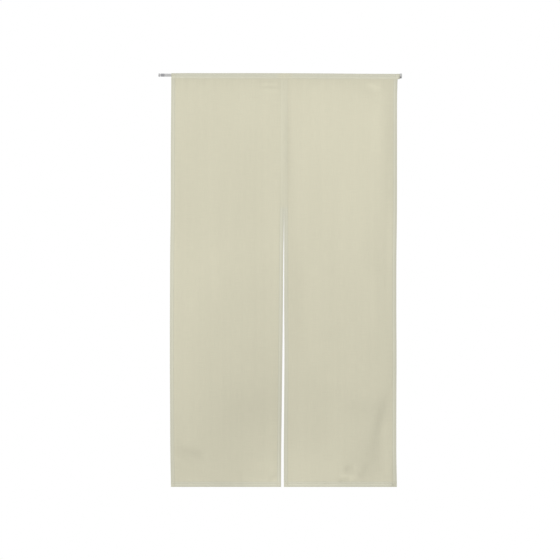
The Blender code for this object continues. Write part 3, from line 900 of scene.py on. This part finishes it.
def stitchTree():
    tree = bpy.data.node_groups.new("runningStitch", "GeometryNodeTree")
    face = tree.interface
    face.new_socket("Seams", in_out="INPUT", socket_type="NodeSocketGeometry")
    for name in ("Pitch", "Stitch Length", "Thread Width", "Slant", "Unevenness"):
        face.new_socket(name, in_out="INPUT", socket_type="NodeSocketFloat")
    face.new_socket("Seed", in_out="INPUT", socket_type="NodeSocketInt")
    face.new_socket("Thread", in_out="INPUT", socket_type="NodeSocketMaterial")
    face.new_socket("Stitches", in_out="OUTPUT", socket_type="NodeSocketGeometry")

    def add(kind, settings=None, links=None):
        made = tree.nodes.new(kind)
        for name, value in (settings or {}).items():
            setattr(made, name, value)
        for key, value in (links or {}).items():
            if isinstance(value, bpy.types.NodeSocket):
                tree.links.new(value, made.inputs[key])
            else:
                made.inputs[key].default_value = value
        return made

    given = add("NodeGroupInput").outputs
    curve = add("GeometryNodeMeshToCurve", None, {"Mesh": given["Seams"]})
    spaced = {"Curve": curve.outputs[0], "Length": given["Pitch"]}
    even = add("GeometryNodeResampleCurve", {"mode": "LENGTH"}, spaced)
    # alternate stitches lean the other way, which makes a zigzag where there is a slant
    index = add("GeometryNodeInputIndex")
    odd = add("ShaderNodeMath", {"operation": "MODULO"}, {0: index.outputs[0], 1: 2.0})
    sign = add("ShaderNodeMath", {"operation": "MULTIPLY_ADD"}, {0: odd.outputs[0], 1: -2.0, 2: 1.0})
    lean = add("ShaderNodeMath", {"operation": "MULTIPLY"}, {0: sign.outputs[0], 1: given["Slant"]})
    tangent = add("GeometryNodeInputTangent")
    rotate = {"Vector": tangent.outputs[0], "Axis": (0, 1, 0), "Angle": lean.outputs[0]}
    heading = add("ShaderNodeVectorRotate", {"rotation_type": "AXIS_ANGLE"}, rotate)
    align = add("FunctionNodeAlignRotationToVector", {"axis": "X"}, {"Vector": heading.outputs[0]})
    low = add("ShaderNodeMath", {"operation": "SUBTRACT"}, {0: 1.0, 1: given["Unevenness"]})
    sizes = {2: low.outputs[0], 3: 1.0, "Seed": given["Seed"]}
    size = add("FunctionNodeRandomValue", {"data_type": "FLOAT"}, sizes)
    bead = add("GeometryNodeMeshUVSphere", None, {"Radius": 0.5, "Segments": 6, "Rings": 5})
    lie = {"Geometry": bead.outputs[0], "Rotation": (0, math.pi / 2, 0)}
    lying = add("GeometryNodeTransform", None, lie)
    sides = {0: given["Stitch Length"], 1: given["Thread Width"], 2: given["Thread Width"]}
    form = add("ShaderNodeCombineXYZ", None, sides)
    shaped = add("GeometryNodeTransform", None, {"Geometry": lying.outputs[0], "Scale": form.outputs[0]})
    smoothed = add("GeometryNodeSetShadeSmooth", None, {"Geometry": shaped.outputs[0]})
    placed = add("GeometryNodeInstanceOnPoints", None, {
        "Points": even.outputs[0], "Instance": smoothed.outputs[0],
        "Rotation": align.outputs[0], "Scale": size.outputs[1],
    })
    real = add("GeometryNodeRealizeInstances", None, {0: placed.outputs[0]})
    finish = {"Geometry": real.outputs[0], "Material": given["Thread"]}
    dressed = add("GeometryNodeSetMaterial", None, finish)
    add("NodeGroupOutput", None, {0: dressed.outputs[0]})
    return tree


def sewAlong(name, lines, tree, form, slant, seed):
    # a mesh of bare edges carries the tree, whose result becomes a plain mesh
    values = {
        "Pitch": form["pitch"], "Stitch Length": form["length"], "Thread Width": form["thread"],
        "Slant": slant, "Unevenness": stitch["unevenness"], "Seed": seed, "Thread": finishes["thread"],
    }
    points = np.concatenate(lines)
    edges, start = [], 0
    for line in lines:
        edges += [(start + i, start + i + 1) for i in range(len(line) - 1)]
        start += len(line)
    carrier = bpy.data.meshes.new(name + "Lines")
    carrier.from_pydata(points.tolist(), edges, [])
    made = bpy.data.objects.new(name, carrier)
    bpy.context.scene.collection.objects.link(made)
    modifier = made.modifiers.new("stitches", "NODES")
    modifier.node_group = tree
    names = {item.name: item.identifier for item in tree.interface.items_tree if item.in_out == "INPUT"}
    for socket, value in values.items():
        modifier[names[socket]] = value
    result = bpy.data.meshes.new_from_object(made.evaluated_get(bpy.context.evaluated_depsgraph_get()))
    made.modifiers.remove(modifier)
    made.data = result
    result.name = name
    return made


def joinLines():
    # midway between the two panels, in front and behind, from the pocket's seam to where the slit opens
    first = curtain["pocketDepth"] + joinSewing["belowSeam"]
    drops = np.arange(first, curtain["slitStart"] + joinSewing["pastJoin"], joinSewing["lineStep"])
    x = np.full_like(drops, middle)
    forward = standingForward(panels[0], x, drops, np.zeros_like(drops), curtain["drop"] - drops)
    front = -curtain["solidSheet"] / 2 - forward
    back = front + sheetBuild["thickness"] + sheetBuild["hemExtra"]
    stands = joinSewing["proud"]
    return [np.stack(spread(x, y, top - drops), axis=-1) for y in (front - stands, back + stands)]


def latheX(name, profile, hollow, startX, slot):
    # a round piece about the rod's axis, from (x, radius) points
    mesh = bmesh.new()
    ring = [mesh.verts.new((startX + x, 0.0, radius)) for x, radius in profile]
    pairs = list(zip(ring, ring[1:])) + ([(ring[-1], ring[0])] if hollow else [])
    edges = [mesh.edges.new(pair) for pair in pairs]
    turned = {"cent": (0, 0, 0), "axis": (1, 0, 0), "angle": math.tau, "use_merge": True}
    bmesh.ops.spin(mesh, geom=ring + edges, steps=rod["sides"], **turned)
    bmesh.ops.remove_doubles(mesh, verts=mesh.verts, dist=1e-6)
    bmesh.ops.recalc_face_normals(mesh, faces=mesh.faces)
    data = bpy.data.meshes.new(name)
    mesh.to_mesh(data)
    mesh.free()
    data.shade_smooth()
    data.set_sharp_from_angle(angle=math.radians(32))
    data.materials.append(finishes[slot])
    made = bpy.data.objects.new(name, data)
    bpy.context.scene.collection.objects.link(made)
    return made


bow = 0.3  # how far a rounded edge's middle lies from the sharp corner, as a share of its size


def tubeProfile(length, radius, wall):
    lip = wall * rod["lipShare"]
    outerStart = [(0.0, radius - lip), (lip * bow, radius - lip * bow), (lip, radius)]
    outerEnd = [(length - lip, radius), (length - lip * bow, radius - lip * bow), (length, radius - lip)]
    innerEnd = [(length, radius - wall + lip), (length - lip, radius - wall)]
    innerStart = [(lip, radius - wall), (0.0, radius - wall + lip)]
    return outerStart + outerEnd + innerEnd + innerStart


leftFootForm = {
    "discRadius": 0.0057,
    "discLength": 0.0064,
    "grooveRadius": 0.0041,
    "grooveLength": 0.0026,
    "grooveCorner": 0.0004,
    "collarRadius": 0.0055,
    "collarEnd": 0.0205,
    "collarCorner": 0.0002,
    "ringCount": 4,  # shallow grip rings round the collar
    "ringsStart": 0.0028,
    "ringPitch": 0.0024,
    "ringWidth": 0.0010,
    "ringDepth": 0.0003,
    "stemLength": 0.018,
    "edge": 0.0007,
}


def leftFootProfile():
    form = leftFootForm
    edge, corner, lip = form["edge"], form["grooveCorner"], form["collarCorner"]
    disc, discEnd = form["discRadius"], form["discLength"]
    groove, grooveEnd = form["grooveRadius"], discEnd + form["grooveLength"]
    collar, collarEnd = form["collarRadius"], form["collarEnd"]
    depth, width = form["ringDepth"], form["ringWidth"]
    stem, stemEnd = rod["innerRadius"] - rod["innerWall"] - rod["fitGap"], collarEnd + form["stemLength"]
    points = [(0.0, 0.0), (0.0, disc - edge), (edge * bow, disc - edge * bow), (edge, disc)]
    points += [(discEnd - edge, disc), (discEnd - edge * bow, disc - edge * bow), (discEnd, disc - edge)]
    points += [(discEnd, groove + corner), (discEnd + corner, groove)]
    points += [(grooveEnd - corner, groove), (grooveEnd, groove + corner)]
    points += [(grooveEnd, collar - edge / 2), (grooveEnd + edge / 2, collar)]
    for i in range(form["ringCount"]):
        ringAt = grooveEnd + form["ringsStart"] + form["ringPitch"] * i
        points += [(ringAt, collar), (ringAt + depth, collar - depth)]
        points += [(ringAt + width - depth, collar - depth), (ringAt + width, collar)]
    points += [(collarEnd - lip, collar), (collarEnd, collar - lip), (collarEnd, stem)]
    return points + [(stemEnd - edge, stem), (stemEnd, stem - edge), (stemEnd, 0.0)]


rightFootForm = {"capRadius": 0.0089, "capLength": 0.0070, "stemLength": 0.020, "edge": 0.0007}


def rightFootProfile():
    form = rightFootForm
    edge, radius = form["edge"], form["capRadius"]
    stem = rod["outerRadius"] - rod["outerWall"] - rod["fitGap"]
    capStart = form["stemLength"]
    capEnd = capStart + form["capLength"]
    points = [(0.0, 0.0), (0.0, stem - edge), (edge, stem), (capStart, stem), (capStart, radius - edge)]
    points += [(capStart + edge * bow, radius - edge * bow), (capStart + edge, radius)]
    points += [(capEnd - 2 * edge, radius), (capEnd - edge, radius - edge * bow)]
    return points + [(capEnd - edge * bow, radius - edge), (capEnd, radius - 2 * edge), (capEnd, 0.0)]


def buildRod():
    capStart = rod["length"] - rightFootForm["capLength"]
    outerLength = capStart - rod["fitGap"] - rod["outerStart"]
    innerStart = leftFootForm["collarEnd"] + rod["fitGap"]
    innerLength = rod["outerStart"] + rod["innerOverlap"] - innerStart
    outerProfile = tubeProfile(outerLength, rod["outerRadius"], rod["outerWall"])
    innerProfile = tubeProfile(innerLength, rod["innerRadius"], rod["innerWall"])
    rightX = capStart - rightFootForm["stemLength"]
    pieces = {
        "rod_outer_tube": latheX("outerTube", outerProfile, True, rod["outerStart"], "rod_enamel"),
        "rod_inner_tube": latheX("innerTube", innerProfile, True, innerStart, "rod_enamel"),
        "rod_foot_left": latheX("leftFoot", leftFootProfile(), False, 0.0, "foot_rubber"),
        "rod_foot_right": latheX("rightFoot", rightFootProfile(), False, rightX, "foot_rubber"),
    }
    for node, piece in pieces.items():
        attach(piece, "root")
        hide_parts(node)


buildRod()
print("rod made")

# The cut cloth, with what its hems and pocket take up
cut = {"sideTurning": 0.010, "endTurning": 0.010}

sewingTree = stitchTree()
for panel in panels:
    piece, lines = buildPanel(panel)
    flatLength = max(item.uv[1] for item in piece.data.uv_layers["flatCloth"].data)
    cutLength = flatLength + curtain["bottomHem"] + 2 * cut["endTurning"]
    stitches = sewAlong(panel.name + "Stitches", lines, sewingTree, stitch, 0.0, panel.seed)
    for part in (piece, stitches):
        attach(part, "root")
    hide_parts(panel.node)

slant, seed = joinSewing["slant"], joinSewing["seed"]
joinStitches = sewAlong("joinStitches", joinLines(), sewingTree, joinSewing, slant, seed)
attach(joinStitches, "root")
print("sewing made")

# White ground and soft light from every side, a little more of it from the left
studio = {
    "floorBelow": 0.50,  # under the cloth's bottom edge
    "floorReach": 30.0,
    "ambient": 0.625,
    "leftPower": 0.95,
    "leftAngle": math.radians(60),
    "leftDirection": (0.80, 0.60, -0.05),
    "lowPower": 0.60,
    "lowAngle": math.radians(80),
    "lowDirection": (-0.10, 0.55, 0.83),
    "topPower": 8.0,
    "topSize": 1.2,
    "topPlace": (middle, -1.3, 1.2),
    "topAim": (middle, 0.0, -0.4),
}


def placeLight(name, lamp, place, heading):
    # it shines along its heading
    made = bpy.data.objects.new(name, lamp)
    made.location = place
    made.rotation_mode = "QUATERNION"
    made.rotation_quaternion = heading.to_track_quat("-Z", "Y")
    bpy.context.scene.collection.objects.link(made)


def buildStudio():
    world = bpy.data.worlds.new("studio")
    bpy.context.scene.world = world
    world.use_nodes = True
    tree = world.node_tree
    background = tree.nodes["Background"]
    background.inputs["Color"].default_value = (1, 1, 1, 1)
    # white to the camera, and dimmer as light
    strength = tree.nodes.new("ShaderNodeMapRange")
    path = tree.nodes.new("ShaderNodeLightPath")
    tree.links.new(path.outputs["Is Camera Ray"], strength.inputs["Value"])
    strength.inputs["To Min"].default_value = studio["ambient"]
    strength.inputs["To Max"].default_value = 1.0
    tree.links.new(strength.outputs[0], background.inputs["Strength"])
    for name in ("left", "low"):
        sun = bpy.data.lights.new(name, "SUN")
        sun.energy = studio[name + "Power"]
        sun.angle = studio[name + "Angle"]
        placeLight(name, sun, (0, 0, 0), Vector(studio[name + "Direction"]))
    area = bpy.data.lights.new("topLight", "AREA")
    area.energy = studio["topPower"]
    area.size = studio["topSize"]
    aim = Vector(studio["topAim"]) - Vector(studio["topPlace"])
    placeLight("topLight", area, studio["topPlace"], aim)


def buildFloor():
    mesh = bpy.data.meshes.new("floor")
    z, reach = top - curtain["drop"] - studio["floorBelow"], studio["floorReach"]
    corners = [(-reach, -reach, z), (reach, -reach, z), (reach, reach, z), (-reach, reach, z)]
    mesh.from_pydata(corners, [], [(0, 1, 2, 3)])
    floor = bpy.data.objects.new("floor", mesh)
    bpy.context.scene.collection.objects.link(floor)
    paint = bpy.data.materials.new("floorWhite")
    paint.use_nodes = True
    shader = paint.node_tree.nodes["Principled BSDF"]
    # it shines just as brightly as the world, so that no horizon and no shadow shows
    shader.inputs["Base Color"].default_value = (0, 0, 0, 1)
    shader.inputs["Specular IOR Level"].default_value = 0.0
    shader.inputs["Emission Color"].default_value = (1, 1, 1, 1)
    shader.inputs["Emission Strength"].default_value = 1.0
    mesh.materials.append(paint)
    floor.visible_diffuse = False
    floor.visible_glossy = False
    floor.visible_shadow = False


def buildCamera():
    data = bpy.data.cameras.new("camera")
    data.lens = camera["lens"]
    data.sensor_width = camera["sensor"]
    made = bpy.data.objects.new("camera", data)
    turned, distance = camera["turned"], camera["distance"]
    made.location = (camera["x"] - distance * math.sin(turned), -distance * math.cos(turned), camera["z"])
    made.rotation_euler = (math.pi / 2, camera["rolled"], -turned)
    bpy.context.scene.collection.objects.link(made)
    bpy.context.scene.camera = made


buildStudio()
buildFloor()
buildCamera()
bpy.context.scene.view_settings.view_transform = "Standard"
print("studio made")
